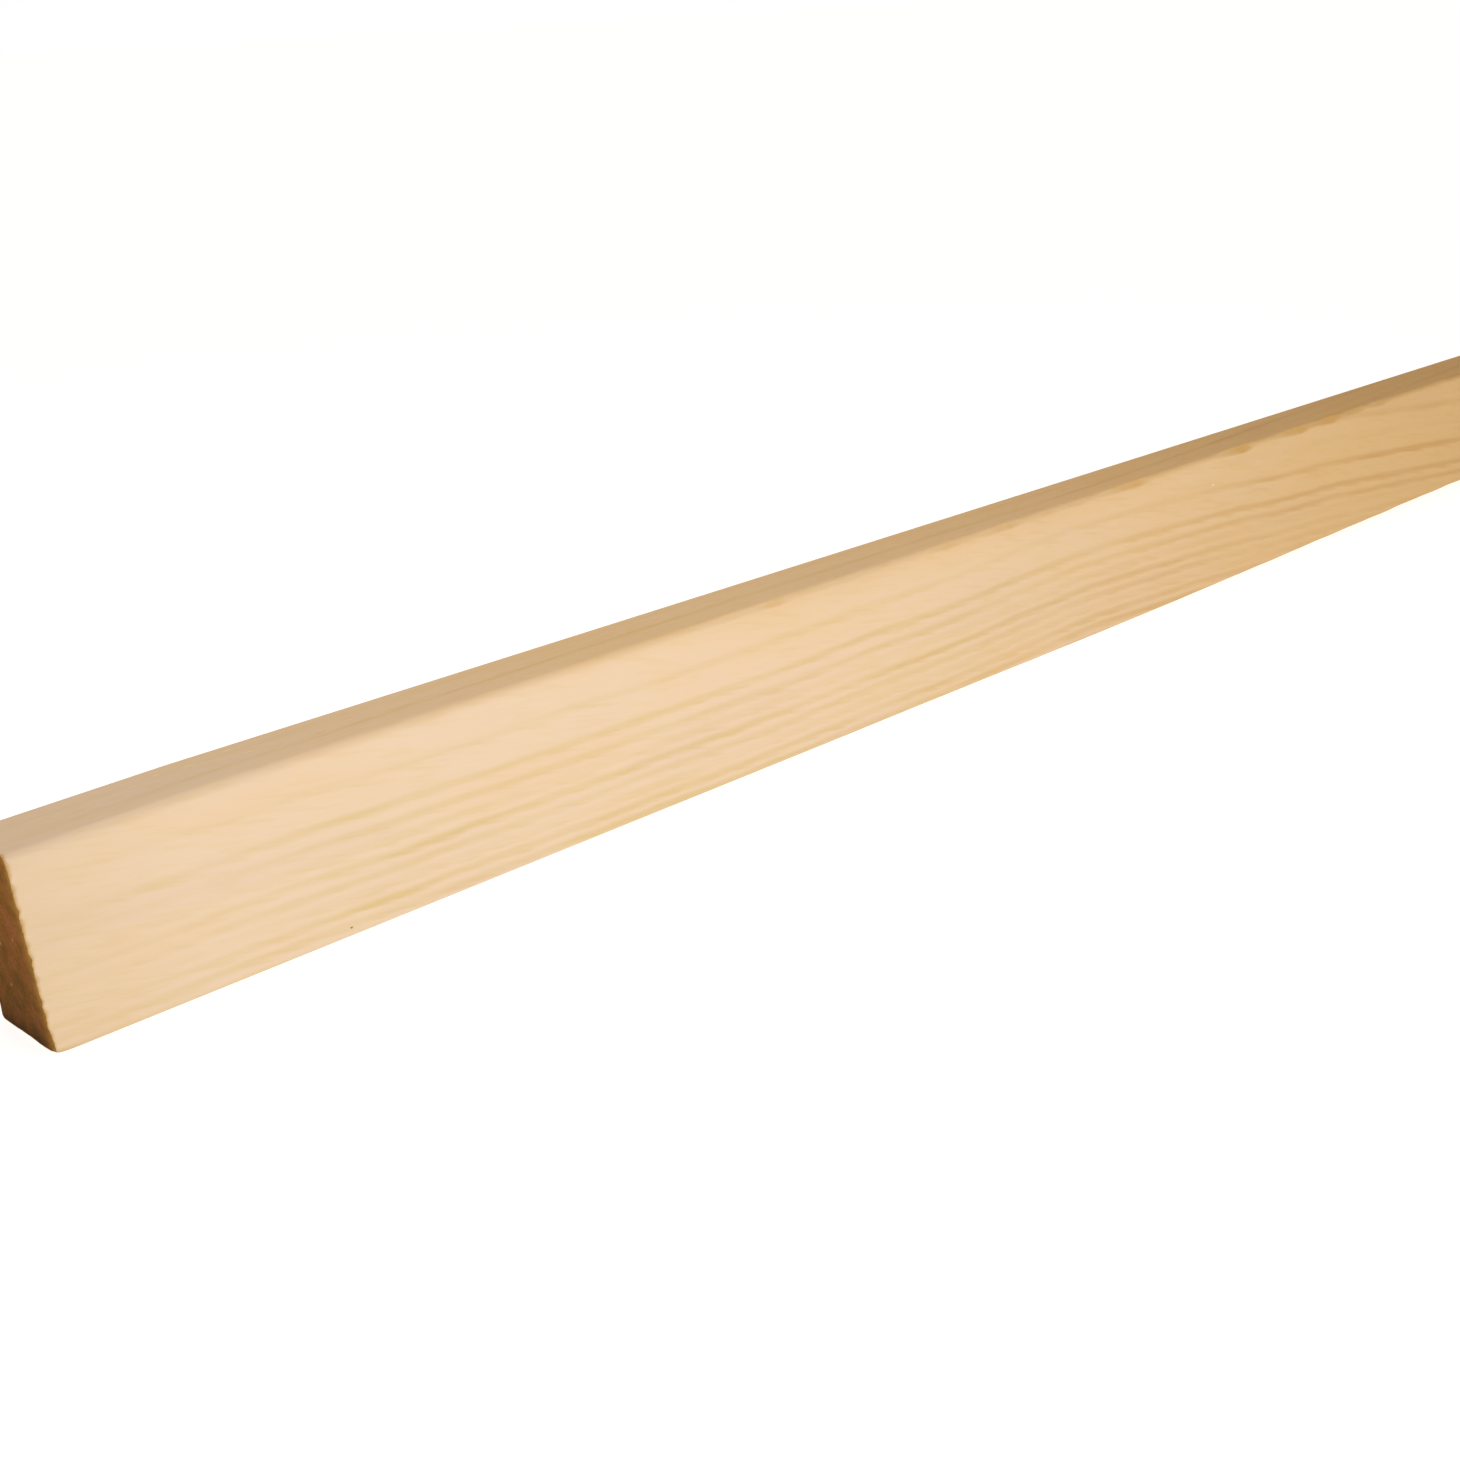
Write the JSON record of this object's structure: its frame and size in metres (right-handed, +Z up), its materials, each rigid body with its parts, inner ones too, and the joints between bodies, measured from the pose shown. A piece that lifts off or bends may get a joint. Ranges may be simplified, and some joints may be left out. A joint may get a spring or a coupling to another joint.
{
  "type": "glazing bead",
  "caption": "Raked softwood glazing bead: a long planed strip of trapezoid section with eased arrises, sawn square at both ends.",
  "frame": {"origin": "middle of the base, half way along the bead", "axes": "+X along the bead, the raked front face towards -Y, the upright back face towards +Y, +Z up from the base"},
  "size_m": [2.1, 0.012, 0.021],
  "materials": {
    "pine": "planed bare softwood on the long faces, rough sawn end grain"
  },
  "bodies": {
    "root": {"glazing_bead": "pine"}
  },
  "joints": []
}
